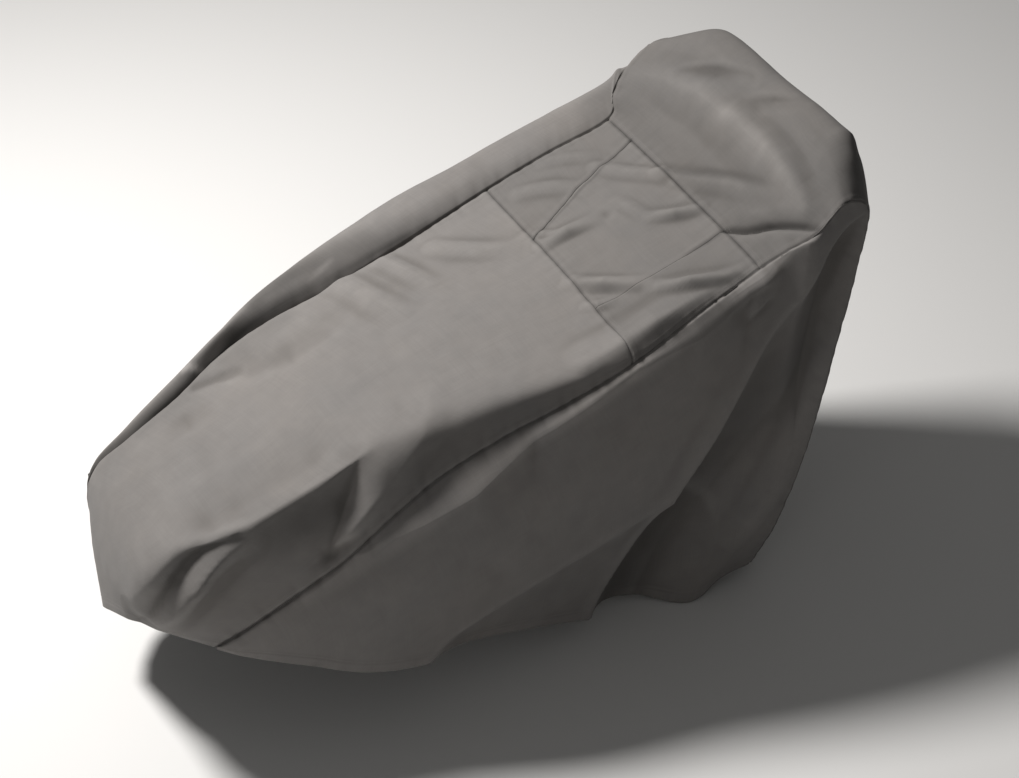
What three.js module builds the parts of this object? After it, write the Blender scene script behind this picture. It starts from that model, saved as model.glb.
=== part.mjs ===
// Fitted canvas cover for a boat lift, sewn from seven panels and shaped as it hangs.
// Millimetres. x runs from the nose to the back, y to the cover's left, z up from the lowest hem.
// A centre run of panels goes from the nose up the ramp, over the chest and head and down the back.
// A side panel hangs from each of its two long seams.
import * as THREE from "three";

// Cloth
const CLOTH = 2;
const SEAM_SLIT = 0.3;
const CANVAS = { color: 0x6b635b, roughness: 0.9, metalness: 0 };

// Where the lift carries the cover, under the top of its head. The part's origin lies there.
const SUPPORT = { x: 1310, z: 1000 };

// Sections over which the side panels are drawn back to the back seam
const BACK_PULL = 3;
// Shares of the width, next to a seam, over which the folds of the centre run and of each side die out
const RUN_HOLD = 0.15;
const RIGHT_HOLD = 0.14;
const LEFT_HOLD = 0.35;

// Halvings in the search for a place across the centre run
const HALVINGS = 30;

// Mesh steps across the centre run
const STRIP_STEPS = 4;
const CENTRE_STEPS = 9;

// Sections of the centre run: its middle line, the soft ridge beside it and the right seam,
// with y as a distance to either side. The left side mirrors the right one, except where the cover
// has slipped to the right: left x, y and z are what its left seam gains on the mirrored right seam,
// and slew x, y and z what the left ridge gains and the right ridge loses.
const SECTION_COLUMNS = [
  "topX", "topZ", "ridgeX", "ridgeY", "ridgeZ", "seamX", "seamY", "seamZ",
  "leftX", "leftY", "leftZ", "slewX", "slewY", "slewZ",
];
const SECTIONS = [
  [4, 252, 12, 88, 244, 121, 180, 279, -115, -68, -89, -17, 0, -44], // hem at the nose
  [3, 366, 8, 122, 348, 132, 186, 288, -120, -41, 37, -8, 0, -10], // front of the nose
  [30, 466, 32, 156, 454, 150, 196, 304, -126, -20, 128, 0, 0, 0], // brow of the nose
  [100, 524, 104, 157, 520, 195, 216, 342, -77, -39, 146, 0, -9, 0],
  [206, 566, 211, 177, 560, 267, 240, 400, -42, -46, 139, 0, -9, 0],
  [312, 610, 314, 196, 604, 350, 257, 458, -25, -41, 130, 0, 0, 0],
  [419, 648, 420, 202, 643, 439, 263, 526, -11, -35, 99, 0, 0, 0],
  [532, 678, 532, 206, 671, 537, 260, 580, 1, -24, 70, 0, -3, 0],
  [647, 706, 647, 220, 697, 649, 266, 626, -1, -20, 55, 0, -6, 0],
  [767, 729, 767, 230, 719, 767, 280, 669, 0, -20, 45, 0, -16, 0],
  [892, 757, 892, 242, 747, 892, 292, 722, 0, -15, 25, 0, -20, 0], // lower cross seam
  [1022, 800, 1022, 234, 794, 1022, 286, 780, 0, -7, 10, 0, -16, 0],
  [1153, 838, 1153, 215, 836, 1153, 276, 830, 0, -2, 3, 0, -10, 0], // upper cross seam
  [1210, 900, 1205, 212, 892, 1193, 297, 868, -14, 7, 0, 0, 0, 0],
  [1268, 964, 1258, 212, 950, 1238, 320, 908, -14, 7, 0, 0, 0, 0], // brow of the head
  [1316, 1006, 1316, 208, 1002, 1290, 318, 950, -6, 3, 0, 0, 0, 0], // top of the head
  [1368, 1008, 1370, 205, 1002, 1345, 306, 925, 0, 0, 0, 0, 0, 0], // back edge of the head
  [1396, 910, 1394, 212, 900, 1356, 303, 855, 0, 0, 0, 0, 0, 0],
  [1380, 700, 1372, 222, 690, 1318, 313, 670, 0, 0, 0, 0, 0, 0],
  [1344, 440, 1334, 222, 440, 1278, 314, 430, 0, 0, 0, 0, 0, 0],
  [1304, 190, 1290, 215, 190, 1236, 296, 220, 0, 0, 0, 0, 0, 0],
  [1266, 62, 1250, 200, 66, 1204, 262, 85, 0, 0, 0, 0, 0, 0], // hem at the back
];
const LOWER_CROSS_SEAM = 10;
const UPPER_CROSS_SEAM = 12;
const HEAD_CORNER = 16;

// Mesh steps from each section to the next, on the ramp and chest, on the head and down the back
const RAMP_STEPS = 4;
const HEAD_STEPS = 2;
const BACK_STEPS = 4;

// The seams between the chest and its strips, left of the middle line at the lower and the upper
// cross seam. The left one slants and the right one runs straight.
const LEFT_CHEST_SEAM = { foot: 84, head: 186 };
const RIGHT_CHEST_SEAM = { foot: -156, head: -152 };

// Sections of each side panel below the seam at a section of the centre run: the shoulder beside
// the seam, which is a sloping ledge on the right and a roll on the left, the wall under it and the hem.
const SIDE_COLUMNS = [
  "section", "shoulderX", "shoulderY", "shoulderZ", "wallX", "wallY", "wallZ", "hemX", "hemY", "hemZ",
];
const RIGHT_SIDE = [
  [0, 126, 184, 275, 127, 186, 272, 128, 187, 268], // foot of the seam
  [2, 150, 204, 300, 162, 209, 284, 172, 206, 254],
  [4, 267, 249, 391, 278, 261, 340, 266, 264, 240],
  [6, 441, 287, 500, 430, 305, 392, 396, 310, 208],
  [8, 651, 297, 592, 642, 309, 430, 618, 296, 150],
  [10, 892, 306, 707, 888, 310, 470, 876, 284, 84],
  [12, 1153, 296, 808, 1130, 314, 520, 1050, 268, 38],
  [14, 1240, 334, 886, 1230, 340, 520, 1136, 262, 76],
  [16, 1345, 318, 890, 1310, 328, 520, 1204, 262, 85], // back corner
];
const LEFT_SIDE = [
  [0, 9, 118, 188, 11, 121, 186, 13, 124, 182], // foot of the seam
  [2, 30, 188, 439, 48, 210, 330, 62, 188, 192],
  [3, 121, 208, 506, 140, 244, 356, 138, 226, 199],
  [4, 222, 225, 564, 240, 270, 380, 215, 262, 205],
  [5, 318, 238, 628, 332, 296, 400, 305, 287, 203],
  [6, 436, 293, 652, 424, 326, 420, 396, 310, 200],
  [8, 667, 350, 700, 646, 366, 430, 620, 300, 170],
  [10, 908, 368, 759, 892, 380, 470, 876, 286, 88],
  [12, 1164, 352, 850, 1134, 362, 520, 1060, 274, 56],
  [14, 1228, 341, 888, 1230, 342, 520, 1140, 266, 74],
  [16, 1345, 318, 890, 1310, 328, 520, 1204, 262, 85], // back corner
];

// Folds of the centre run, drawn on the plan. A fold runs from one end to the other and stands up
// (or sinks, below zero) by its height. It falls away within its width on either side.
const RUN_FOLD_COLUMNS = ["fromX", "fromY", "toX", "toY", "width", "height"];
const RUN_FOLDS = [
  [393, -205, 335, -250, 34, -16], // hollow of the slope under the ramp's right ridge
  [440, -208, 390, -258, 34, 14], // edge beside the hollow
  [560, -212, 590, -262, 40, 10], // swell higher up the slope
  [205, -186, 90, -168, 30, -10], // crease by the nose
  [150, -196, 215, -205, 34, 10], // swell under the crease
  [1160, -172, 1238, -300, 46, -14], // pleat from the chest to the corner of the head
  [1240, 40, 1262, 190, 60, 5], // swell along the brow of the head
];

// Folds of the right and the left side panel, drawn on the side view. A fold's height changes from
// end to end. Seen along it, its right side dishes up to a crisp edge and its left side fades out.
const SIDE_FOLD_COLUMNS = [
  "fromX", "fromZ", "toX", "toZ", "crispWidth", "softWidth", "fromHeight", "toHeight",
];
const RIGHT_FOLDS = [
  [1362, 784, 966, 60, 128, 120, -50, -62], // deep valley ahead of the back corner
  [972, 214, 600, 95, 150, 220, -30, -34], // hem turned under
  [1150, 815, 1100, 760, 40, 40, 8, 0], // lump under the seam beside the chest
];
const LEFT_FOLDS = [
  [1260, 780, 1080, 90, 190, 120, -6, -36], // valley ahead of the back corner
  [860, 90, 600, 160, 130, 130, -30, -25], // hem turned under
  [420, 480, 560, 200, 90, 90, 0, 14], // swell towards the hem
];

// Reads the rows of a table as objects with its column names.
function namedRows(columns, rows) {
  return rows.map((row) => Object.fromEntries(columns.map((name, i) => [name, row[i]])));
}

// Smooth value of one column at a place t between rows, t = 2.5 being halfway from row 2 to row 3.
function along(rows, column, t) {
  const last = rows.length - 1;
  const i = Math.min(Math.max(Math.floor(t), 0), last - 1);
  const f = t - i;
  const value = (k) => rows[Math.min(Math.max(k, 0), last)][column];
  const before = i > 0 ? value(i - 1) : 2 * value(0) - value(1);
  const after = i + 2 <= last ? value(i + 2) : 2 * value(last) - value(last - 1);
  const slopeIn = (value(i + 1) - before) / 2;
  const slopeOut = (after - value(i)) / 2;
  const rise = value(i + 1) - value(i);
  const bend = 3 * rise - 2 * slopeIn - slopeOut;
  const twist = slopeIn + slopeOut - 2 * rise;
  return value(i) + f * (slopeIn + f * (bend + f * twist));
}

// Point at t on the even cubic B-spline that starts and ends on its outer control points.
function splinePoint(control, t) {
  const last = control.length - 1;
  const first = control[0].clone().multiplyScalar(2).sub(control[1]);
  const final = control[last].clone().multiplyScalar(2).sub(control[last - 1]);
  const held = [first, ...control, final];
  const i = Math.min(Math.floor(t), last - 1);
  const f = t - i;
  const sixths = [
    (1 - f) ** 3,
    3 * f ** 3 - 6 * f ** 2 + 4,
    -3 * f ** 3 + 3 * f ** 2 + 3 * f + 1,
    f ** 3,
  ];
  const point = new THREE.Vector3();
  sixths.forEach((weight, k) => point.addScaledVector(held[i + k], weight / 6));
  return point;
}

const sections = namedRows(SECTION_COLUMNS, SECTIONS);
const rightSide = namedRows(SIDE_COLUMNS, RIGHT_SIDE);
const leftSide = namedRows(SIDE_COLUMNS, LEFT_SIDE);
const runFolds = namedRows(RUN_FOLD_COLUMNS, RUN_FOLDS);
const rightFolds = namedRows(SIDE_FOLD_COLUMNS, RIGHT_FOLDS);
const leftFolds = namedRows(SIDE_FOLD_COLUMNS, LEFT_FOLDS);
const LAST_SECTION = sections.length - 1;
const CENTRE_RANGE = { a: [0, LAST_SECTION], b: [-1, 1] };
const SIDE_RANGE = { a: [0, HEAD_CORNER], b: [0, 1] };

// Control point that makes the rounded cloth pass through a point between its two neighbours.
// With a control point halfway to each neighbour, the curve takes 5/6 of it and 1/12 of each neighbour.
function setOut(before, through, after) {
  const neighbours = before.clone().add(after).divideScalar(12);
  return through.clone().sub(neighbours).multiplyScalar(6 / 5);
}

// Side seam at section s, on the left (side 1) or the right (side -1).
function seamPoint(s, side) {
  const slipped = side === 1 ? 1 : 0;
  const place = (axis) => along(sections, "seam" + axis, s) + slipped * along(sections, "left" + axis, s);
  return new THREE.Vector3(place("X"), side * place("Y"), place("Z"));
}

function ridgePoint(s, side) {
  return new THREE.Vector3(
    along(sections, "ridgeX", s) + side * along(sections, "slewX", s),
    side * along(sections, "ridgeY", s) + along(sections, "slewY", s),
    along(sections, "ridgeZ", s) + side * along(sections, "slewZ", s),
  );
}

// Centre run without its folds at section s, across from -1 at the right seam to 1 at the left seam.
function smoothCentre(s, across) {
  const top = new THREE.Vector3(along(sections, "topX", s), 0, along(sections, "topZ", s));
  const half = (side) => {
    const seam = seamPoint(s, side);
    const ridge = setOut(seam, ridgePoint(s, side), top);
    return [seam, seam.clone().lerp(ridge, 0.5), ridge, ridge.clone().lerp(top, 0.5)];
  };
  const control = [...half(-1), top, ...half(1).reverse()];
  return splinePoint(control, ((across + 1) / 2) * (control.length - 1));
}

// How far a place (a, b) lies along a fold, from 0 to 1, and beside it, above zero on its left.
function besideFold(from, to, a, b) {
  const length = Math.hypot(to[0] - from[0], to[1] - from[1]);
  const unit = [(to[0] - from[0]) / length, (to[1] - from[1]) / length];
  const run = (a - from[0]) * unit[0] + (b - from[1]) * unit[1];
  const past = Math.max(-run, run - length, 0);
  const offset = (b - from[1]) * unit[0] - (a - from[0]) * unit[1];
  return { share: THREE.MathUtils.clamp(run / length, 0, 1), past, offset };
}

// Soft bell from 1 on the fold's line to 0 at its width.
function bell(distance, width) {
  return 1 - THREE.MathUtils.smoothstep(distance, 0, width);
}

// Round dish from 1 on the fold's line to a crisp edge at its width.
function dish(distance, width) {
  return Math.max(0, 1 - (distance / width) ** 3);
}

function runFoldHeight(x, y) {
  return runFolds.reduce((sum, fold) => {
    const { past, offset } = besideFold([fold.fromX, fold.fromY], [fold.toX, fold.toY], x, y);
    return sum + fold.height * bell(Math.hypot(past, offset), fold.width);
  }, 0);
}

function sideFoldHeight(folds, x, z) {
  return folds.reduce((sum, fold) => {
    const { share, past, offset } = besideFold([fold.fromX, fold.fromZ], [fold.toX, fold.toZ], x, z);
    const height = THREE.MathUtils.lerp(fold.fromHeight, fold.toHeight, share);
    const distance = Math.hypot(past, offset);
    const onSoft = THREE.MathUtils.smoothstep(distance > 0 ? offset / distance : 0, -1, 1);
    const crisp = dish(distance, fold.crispWidth);
    const soft = bell(distance, fold.softWidth);
    return sum + height * THREE.MathUtils.lerp(crisp, soft, onSoft);
  }, 0);
}

// Point of the centre run with its folds, which die out at the seams.
function centrePoint(s, across) {
  const point = smoothCentre(s, across);
  const free = 1 - THREE.MathUtils.smoothstep(Math.abs(across), 1 - RUN_HOLD, 1);
  const height = free * runFoldHeight(point.x, point.y);
  return point.addScaledVector(normalOf(smoothCentre, s, across, CENTRE_RANGE), height);
}

// Place across the centre run where it lies a distance y to the left of the middle line.
function acrossAt(s, y) {
  let low = -1;
  let high = 1;
  for (let step = 0; step < HALVINGS; step += 1) {
    const middle = (low + high) / 2;
    if (centrePoint(s, middle).y < y) low = middle;
    else high = middle;
  }
  return (low + high) / 2;
}

// Place across the centre run at section s of an edge of its middle piece, which follows a chest seam.
function chestEdge(seam) {
  const foot = acrossAt(LOWER_CROSS_SEAM, seam.foot);
  const head = acrossAt(UPPER_CROSS_SEAM, seam.head);
  return (s) => {
    const f = (s - LOWER_CROSS_SEAM) / (UPPER_CROSS_SEAM - LOWER_CROSS_SEAM);
    return THREE.MathUtils.lerp(foot, head, THREE.MathUtils.clamp(f, 0, 1));
  };
}
const leftChestEdge = chestEdge(LEFT_CHEST_SEAM);
const rightChestEdge = chestEdge(RIGHT_CHEST_SEAM);

// Places across the whole centre run at section s, from the right seam to the left one.
function placesAcross(s) {
  const rightEdge = rightChestEdge(s);
  const leftEdge = leftChestEdge(s);
  const span = (from, to, steps) =>
    Array.from({ length: steps }, (_, k) => THREE.MathUtils.lerp(from, to, k / steps));
  const right = span(-1, rightEdge, STRIP_STEPS);
  const middle = span(rightEdge, leftEdge, CENTRE_STEPS);
  const left = span(leftEdge, 1, STRIP_STEPS);
  return [...right, ...middle, ...left, 1];
}

// Row of the side table, as a fraction, at section s of the centre run.
function sideRowAt(rows, s) {
  const i = Math.max(0, rows.findLastIndex((row) => row.section <= s && row.section < HEAD_CORNER));
  return i + (s - rows[i].section) / (rows[i + 1].section - rows[i].section);
}

// Side panel without its folds under section s of the seam, down from 0 at the seam to 1 at the hem.
function smoothSide(side, s, down) {
  const rows = side === 1 ? leftSide : rightSide;
  const row = sideRowAt(rows, s);
  const at = (line) =>
    new THREE.Vector3(
      along(rows, line + "X", row),
      side * along(rows, line + "Y", row),
      along(rows, line + "Z", row),
    );
  const seam = seamPoint(s, side);
  const bulge = at("shoulder");
  const hem = at("hem");
  const shoulder = setOut(seam, bulge, at("wall"));
  const wall = setOut(bulge, at("wall"), hem);
  const halfway = (from, to) => from.clone().lerp(to, 0.5);
  const control = [
    seam,
    halfway(seam, shoulder),
    shoulder,
    halfway(shoulder, wall),
    wall,
    halfway(wall, hem),
    hem,
  ];
  return splinePoint(control, down * (control.length - 1));
}

// Back seam of a side panel, from the corner of the head down to the hem.
function backSeamPoint(side, down) {
  return seamPoint(THREE.MathUtils.lerp(HEAD_CORNER, LAST_SECTION, down), side);
}

// Side panel with its last stretch drawn over to the back seam.
function pulledSide(side, s, down) {
  const pull = THREE.MathUtils.smoothstep(s, HEAD_CORNER - BACK_PULL, HEAD_CORNER);
  const slip = backSeamPoint(side, down).sub(smoothSide(side, HEAD_CORNER, down));
  return smoothSide(side, s, down).addScaledVector(slip, pull);
}

// Side panel with its folds, which stand out sideways and die out at the seams.
function sidePoint(side, s, down) {
  const point = pulledSide(side, s, down);
  const belowSeam = THREE.MathUtils.smoothstep(down, 0, side === 1 ? LEFT_HOLD : RIGHT_HOLD);
  const aheadOfBack = 1 - THREE.MathUtils.smoothstep(s, HEAD_CORNER - 1, HEAD_CORNER);
  const height = sideFoldHeight(side === 1 ? leftFolds : rightFolds, point.x, point.z);
  point.y += side * belowSeam * aheadOfBack * height;
  return point;
}

// Unit normal of a surface from the differences of its points on both parameters.
function normalOf(surface, a, b, range) {
  const step = 1e-3;
  const difference = (da, db) => {
    const clampA = (value) => THREE.MathUtils.clamp(value, range.a[0], range.a[1]);
    const clampB = (value) => THREE.MathUtils.clamp(value, range.b[0], range.b[1]);
    return surface(clampA(a + da), clampB(b + db)).sub(surface(clampA(a - da), clampB(b - db)));
  };
  return difference(step, 0).cross(difference(0, step)).normalize();
}

function centreNormal(s, across) {
  return normalOf(centrePoint, s, across, CENTRE_RANGE);
}

function sideNormal(side, s, down) {
  const surface = (a, b) => sidePoint(side, a, b);
  return normalOf(surface, s, down, SIDE_RANGE).multiplyScalar(side);
}

// Shared normal of the two panels that meet in a side seam at section s.
function seamNormal(s, side) {
  const beside =
    s <= HEAD_CORNER
      ? sideNormal(side, s, 0)
      : sideNormal(side, HEAD_CORNER, (s - HEAD_CORNER) / (LAST_SECTION - HEAD_CORNER));
  return centreNormal(s, side).add(beside).normalize();
}

// Closed sheet from a grid of outer points and normals, drawn back from its seams by half a slit.
// Facing is -1 where the grid runs the other way round, seen from outside.
function sheetGeometry(grid, open, facing) {
  const rows = grid.length;
  const columns = grid[0].length;
  const drawn = grid.map((row, i) =>
    row.map(({ point }, j) => {
      const inward = new THREE.Vector3();
      const towards = (other) => inward.add(other.point.clone().sub(point).normalize());
      if (i === 0 && !open.first) towards(grid[1][j]);
      if (i === rows - 1 && !open.last) towards(grid[rows - 2][j]);
      if (j === 0 && !open.start) towards(grid[i][1]);
      if (j === columns - 1 && !open.end) towards(grid[i][columns - 2]);
      return point.clone().addScaledVector(inward, SEAM_SLIT / 2);
    }),
  );
  const positions = [];
  drawn.forEach((row) => row.forEach((point) => positions.push(...point)));
  drawn.forEach((row, i) =>
    row.forEach((point, j) => {
      const inside = point.clone().addScaledVector(grid[i][j].normal, -CLOTH);
      positions.push(...inside);
    }),
  );
  const outer = (i, j) => i * columns + j;
  const inner = (i, j) => rows * columns + outer(i, j);
  const index = [];
  const quad = (a, b, c, d) => {
    if (facing === 1) index.push(a, b, c, a, c, d);
    else index.push(a, c, b, a, d, c);
  };
  for (let i = 0; i < rows - 1; i += 1) {
    for (let j = 0; j < columns - 1; j += 1) {
      quad(outer(i, j), outer(i + 1, j), outer(i + 1, j + 1), outer(i, j + 1));
      quad(inner(i, j), inner(i, j + 1), inner(i + 1, j + 1), inner(i + 1, j));
    }
  }
  const end = columns - 1;
  for (let i = 0; i < rows - 1; i += 1) {
    quad(outer(i, 0), inner(i, 0), inner(i + 1, 0), outer(i + 1, 0));
    quad(outer(i, end), outer(i + 1, end), inner(i + 1, end), inner(i, end));
  }
  const last = rows - 1;
  for (let j = 0; j < columns - 1; j += 1) {
    quad(outer(0, j), outer(0, j + 1), inner(0, j + 1), inner(0, j));
    quad(outer(last, j), inner(last, j), inner(last, j + 1), outer(last, j + 1));
  }
  const geometry = new THREE.BufferGeometry();
  geometry.setAttribute("position", new THREE.Float32BufferAttribute(positions, 3));
  geometry.setIndex(index);
  geometry.computeVertexNormals();
  return geometry;
}

const cover = new THREE.Group();
cover.position.set(-SUPPORT.x, 0, -SUPPORT.z);

function addPanel(name, geometry) {
  const mesh = new THREE.Mesh(geometry, new THREE.MeshStandardMaterial(CANVAS));
  mesh.name = name;
  cover.add(mesh);
}

// Mesh steps between two sections, both included.
function stepsBetween(from, to) {
  const stops = [];
  for (let section = from; section < to; section += 1) {
    let steps = RAMP_STEPS;
    if (section >= UPPER_CROSS_SEAM) steps = HEAD_STEPS;
    if (section >= HEAD_CORNER) steps = BACK_STEPS;
    for (let k = 0; k < steps; k += 1) stops.push(section + k / steps);
  }
  return [...stops, to];
}

// Panel of the centre run between two sections and two columns of its places across.
function centrePanel(name, from, to, firstColumn, lastColumn) {
  const grid = stepsBetween(from, to).map((s) => {
    const places = placesAcross(s);
    return places.slice(firstColumn, lastColumn + 1).map((across) => ({
      point: centrePoint(s, across),
      normal: Math.abs(across) === 1 ? seamNormal(s, across) : centreNormal(s, across),
    }));
  });
  const open = { first: from === 0, last: to === LAST_SECTION };
  addPanel(name, sheetGeometry(grid, open, 1));
}

// Side panel from its front tip to the back seam. Its last column runs down the back seam.
function sidePanel(name, side) {
  const downs = stepsBetween(HEAD_CORNER, LAST_SECTION).map(
    (s) => (s - HEAD_CORNER) / (LAST_SECTION - HEAD_CORNER),
  );
  const grid = stepsBetween(0, HEAD_CORNER).map((s) => {
    return downs.map((down) => {
      const onTopSeam = down === 0;
      const onBackSeam = s === HEAD_CORNER;
      const seamAt = onTopSeam ? s : THREE.MathUtils.lerp(HEAD_CORNER, LAST_SECTION, down);
      return {
        point: sidePoint(side, s, down),
        normal: onTopSeam || onBackSeam ? seamNormal(seamAt, side) : sideNormal(side, s, down),
      };
    });
  });
  addPanel(name, sheetGeometry(grid, { first: true, end: true }, side));
}

const ACROSS = 2 * STRIP_STEPS + CENTRE_STEPS;
centrePanel("ramp_panel", 0, LOWER_CROSS_SEAM, 0, ACROSS);
centrePanel("chest_strip_right", LOWER_CROSS_SEAM, UPPER_CROSS_SEAM, 0, STRIP_STEPS);
centrePanel("chest_panel", LOWER_CROSS_SEAM, UPPER_CROSS_SEAM, STRIP_STEPS, ACROSS - STRIP_STEPS);
centrePanel("chest_strip_left", LOWER_CROSS_SEAM, UPPER_CROSS_SEAM, ACROSS - STRIP_STEPS, ACROSS);
centrePanel("head_panel", UPPER_CROSS_SEAM, LAST_SECTION, 0, ACROSS);
sidePanel("side_panel_left", 1);
sidePanel("side_panel_right", -1);

export default cover;
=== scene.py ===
# Boat lift cover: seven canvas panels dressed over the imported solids, with seams, hems, stitches and folds.
# The cover's own sizes are in millimetres: x from the nose to the back, y to its left and z up from the
# lowest hem. The part's origin lies where the lift carries the cover.
import math

import bpy
import numpy as np
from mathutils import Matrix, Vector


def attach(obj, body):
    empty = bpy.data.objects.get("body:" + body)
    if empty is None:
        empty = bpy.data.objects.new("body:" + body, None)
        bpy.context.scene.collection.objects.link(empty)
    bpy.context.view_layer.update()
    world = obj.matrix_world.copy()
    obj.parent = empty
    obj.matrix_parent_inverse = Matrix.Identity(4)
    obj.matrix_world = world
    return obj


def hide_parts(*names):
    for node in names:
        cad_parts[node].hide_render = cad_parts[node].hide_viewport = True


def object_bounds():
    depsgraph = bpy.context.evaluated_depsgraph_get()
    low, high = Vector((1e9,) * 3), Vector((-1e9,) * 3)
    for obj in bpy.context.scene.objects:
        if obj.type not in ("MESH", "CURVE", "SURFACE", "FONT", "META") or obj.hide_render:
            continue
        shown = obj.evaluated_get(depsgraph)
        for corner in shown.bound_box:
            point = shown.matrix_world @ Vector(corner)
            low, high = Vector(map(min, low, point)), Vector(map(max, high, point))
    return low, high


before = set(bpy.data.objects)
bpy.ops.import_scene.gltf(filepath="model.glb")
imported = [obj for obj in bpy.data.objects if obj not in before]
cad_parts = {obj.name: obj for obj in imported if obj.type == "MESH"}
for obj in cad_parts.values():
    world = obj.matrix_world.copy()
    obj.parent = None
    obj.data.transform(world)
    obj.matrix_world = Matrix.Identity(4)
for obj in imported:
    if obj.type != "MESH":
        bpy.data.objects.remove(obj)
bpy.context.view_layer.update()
print("frame loaded:", len(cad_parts), "panels to dress")

# Cloth shared by all panels
cloth = {
    "support": np.array([1310.0, 0.0, 1000.0]),  # the part's origin in the cover's own frame
    "thickness": 2.0,
    "slit": 0.3,  # between neighbouring panels
    "metres": 0.001,
    "rippleHeights": (0.7, 0.12),  # of the long and the short ripples that are everywhere
    "rippleLengths": (210.0, 60.0),
    "rippleSpread": (0.7, 1.5),  # of one wave
    "waves": 14,
    "seed": 7,
    "wearRounds": 6,  # of evening out, to tell ridges from hollows
    "wearHeight": 0.9,  # of a fully worn ridge
}

# Felled side seams and hems, as distances from the edge of a panel
sewing = {
    "allowance": 4.0,  # of cloth turned in at a seam
    "grooveDepth": 2.4,
    "grooveWidth": 3.2,
    "bandHeight": 0.4,  # the lap of a seam stands proud on the centre run
    "bandFrom": (2.5, 5.0),
    "bandTo": (11.0, 14.5),
    "innerShare": 0.7,  # of the heights, in cross and chest seams
    "puckerHeight": 1.5,
    "puckerReach": 17.0,
    "puckerLengths": (23.0, 37.0, 61.0, 110.0),
    "puckerWander": 1.3,
    "wanderLength": 60.0,
    # seams, which differ in their seeds
    "seeds": {"right": 1, "left": 2, "lowerSeam": 3, "upperSeam": 4, "chestRight": 5, "chestLeft": 6},
    "hemWidth": 24.0,
    "hemEdge": 2.0,
    "hemHeight": 0.9,
    "hemGroove": 0.8,
    "hemGrooveWidth": 2.2,
    "stitchRows": (4.6, 10.6),  # beside a seam
    "hemRow": 20.0,
    "stitchPitch": 5.2,
    "stitchSize": np.array([3.7, 0.9, 0.6]),  # length, width and height
}

# Sections of the centre run: top x, z, ridge x, y, z, right seam x, y, z,
# then what the left seam gains in x, y, z and the ridges slew in x, y, z
centreRun = {
    "sections": np.array([
        [4, 252, 12, 88, 244, 121, 180, 279, -115, -68, -89, -17, 0, -44],  # hem at the nose
        [3, 366, 8, 122, 348, 132, 186, 288, -120, -41, 37, -8, 0, -10],  # front of the nose
        [30, 466, 32, 156, 454, 150, 196, 304, -126, -20, 128, 0, 0, 0],  # brow of the nose
        [100, 524, 104, 157, 520, 195, 216, 342, -77, -39, 146, 0, -9, 0],
        [206, 566, 211, 177, 560, 267, 240, 400, -42, -46, 139, 0, -9, 0],
        [312, 610, 314, 196, 604, 350, 257, 458, -25, -41, 130, 0, 0, 0],
        [419, 648, 420, 202, 643, 439, 263, 526, -11, -35, 99, 0, 0, 0],
        [532, 678, 532, 206, 671, 537, 260, 580, 1, -24, 70, 0, -3, 0],
        [647, 706, 647, 220, 697, 649, 266, 626, -1, -20, 55, 0, -6, 0],
        [767, 729, 767, 230, 719, 767, 280, 669, 0, -20, 45, 0, -16, 0],
        [892, 757, 892, 242, 747, 892, 292, 722, 0, -15, 25, 0, -20, 0],  # lower cross seam
        [1022, 800, 1022, 234, 794, 1022, 286, 780, 0, -7, 10, 0, -16, 0],
        [1153, 838, 1153, 215, 836, 1153, 276, 830, 0, -2, 3, 0, -10, 0],  # upper cross seam
        [1210, 900, 1205, 212, 892, 1193, 297, 868, -14, 7, 0, 0, 0, 0],
        [1268, 964, 1258, 212, 950, 1238, 320, 908, -14, 7, 0, 0, 0, 0],  # brow of the head
        [1316, 1006, 1316, 208, 1002, 1290, 318, 950, -6, 3, 0, 0, 0, 0],  # top of the head
        [1368, 1008, 1370, 205, 1002, 1345, 306, 925, 0, 0, 0, 0, 0, 0],  # back edge of the head
        [1396, 910, 1394, 212, 900, 1356, 303, 855, 0, 0, 0, 0, 0, 0],
        [1380, 700, 1372, 222, 690, 1318, 313, 670, 0, 0, 0, 0, 0, 0],
        [1344, 440, 1334, 222, 440, 1278, 314, 430, 0, 0, 0, 0, 0, 0],
        [1304, 190, 1290, 215, 190, 1236, 296, 220, 0, 0, 0, 0, 0, 0],
        [1266, 62, 1250, 200, 66, 1204, 262, 85, 0, 0, 0, 0, 0, 0],  # hem at the back
    ], float),
    "lowerSeam": 10,
    "upperSeam": 12,
    "headCorner": 16,
    "hem": 21,
    "chestLeft": (84.0, 186.0),  # chest seams at the lower and the upper cross seam, from the middle line
    "chestRight": (-156.0, -152.0),
    "crispRidge": 0.9,  # how sharp the ramp's right ridge is at its sharpest
    "crispShift": np.array([0.0, -10.0, -10.0]),
    "crispFrom": (2.6, 3.5),  # sections over which it sharpens
    "crispTo": (5.2, 6.6),  # and over which it softens again
    "crispSoft": (1.2, 1.8),  # across, from 1 at the ridge to 2 at the top
    "foldFree": 30.0,  # from the side seams, over which creases die out
    "backFrom": 15.5,  # section from which the creases of the back are laid
    "rightSeamFrom": (11.25, 11.5),  # sections over which the right chest seam comes up
    "rightSeamFlat": 0.05,  # share of its heights below that
    "rampRows": 230,
    "chestRows": 110,
    "headRows": 84,
    "backRows": 160,
    "stripColumns": 50,
    "middleColumns": 84,
    "slopeColumns": 60,  # from the right seam, that take in the steep slope
    "fineColumns": 801,  # among which the ends of the chest seams are found
}

# Sections where the run is sewn or ends
lowerAt, upperAt, cornerAt, hemAt = (centreRun[k] for k in ("lowerSeam", "upperSeam", "headCorner", "hem"))

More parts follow.
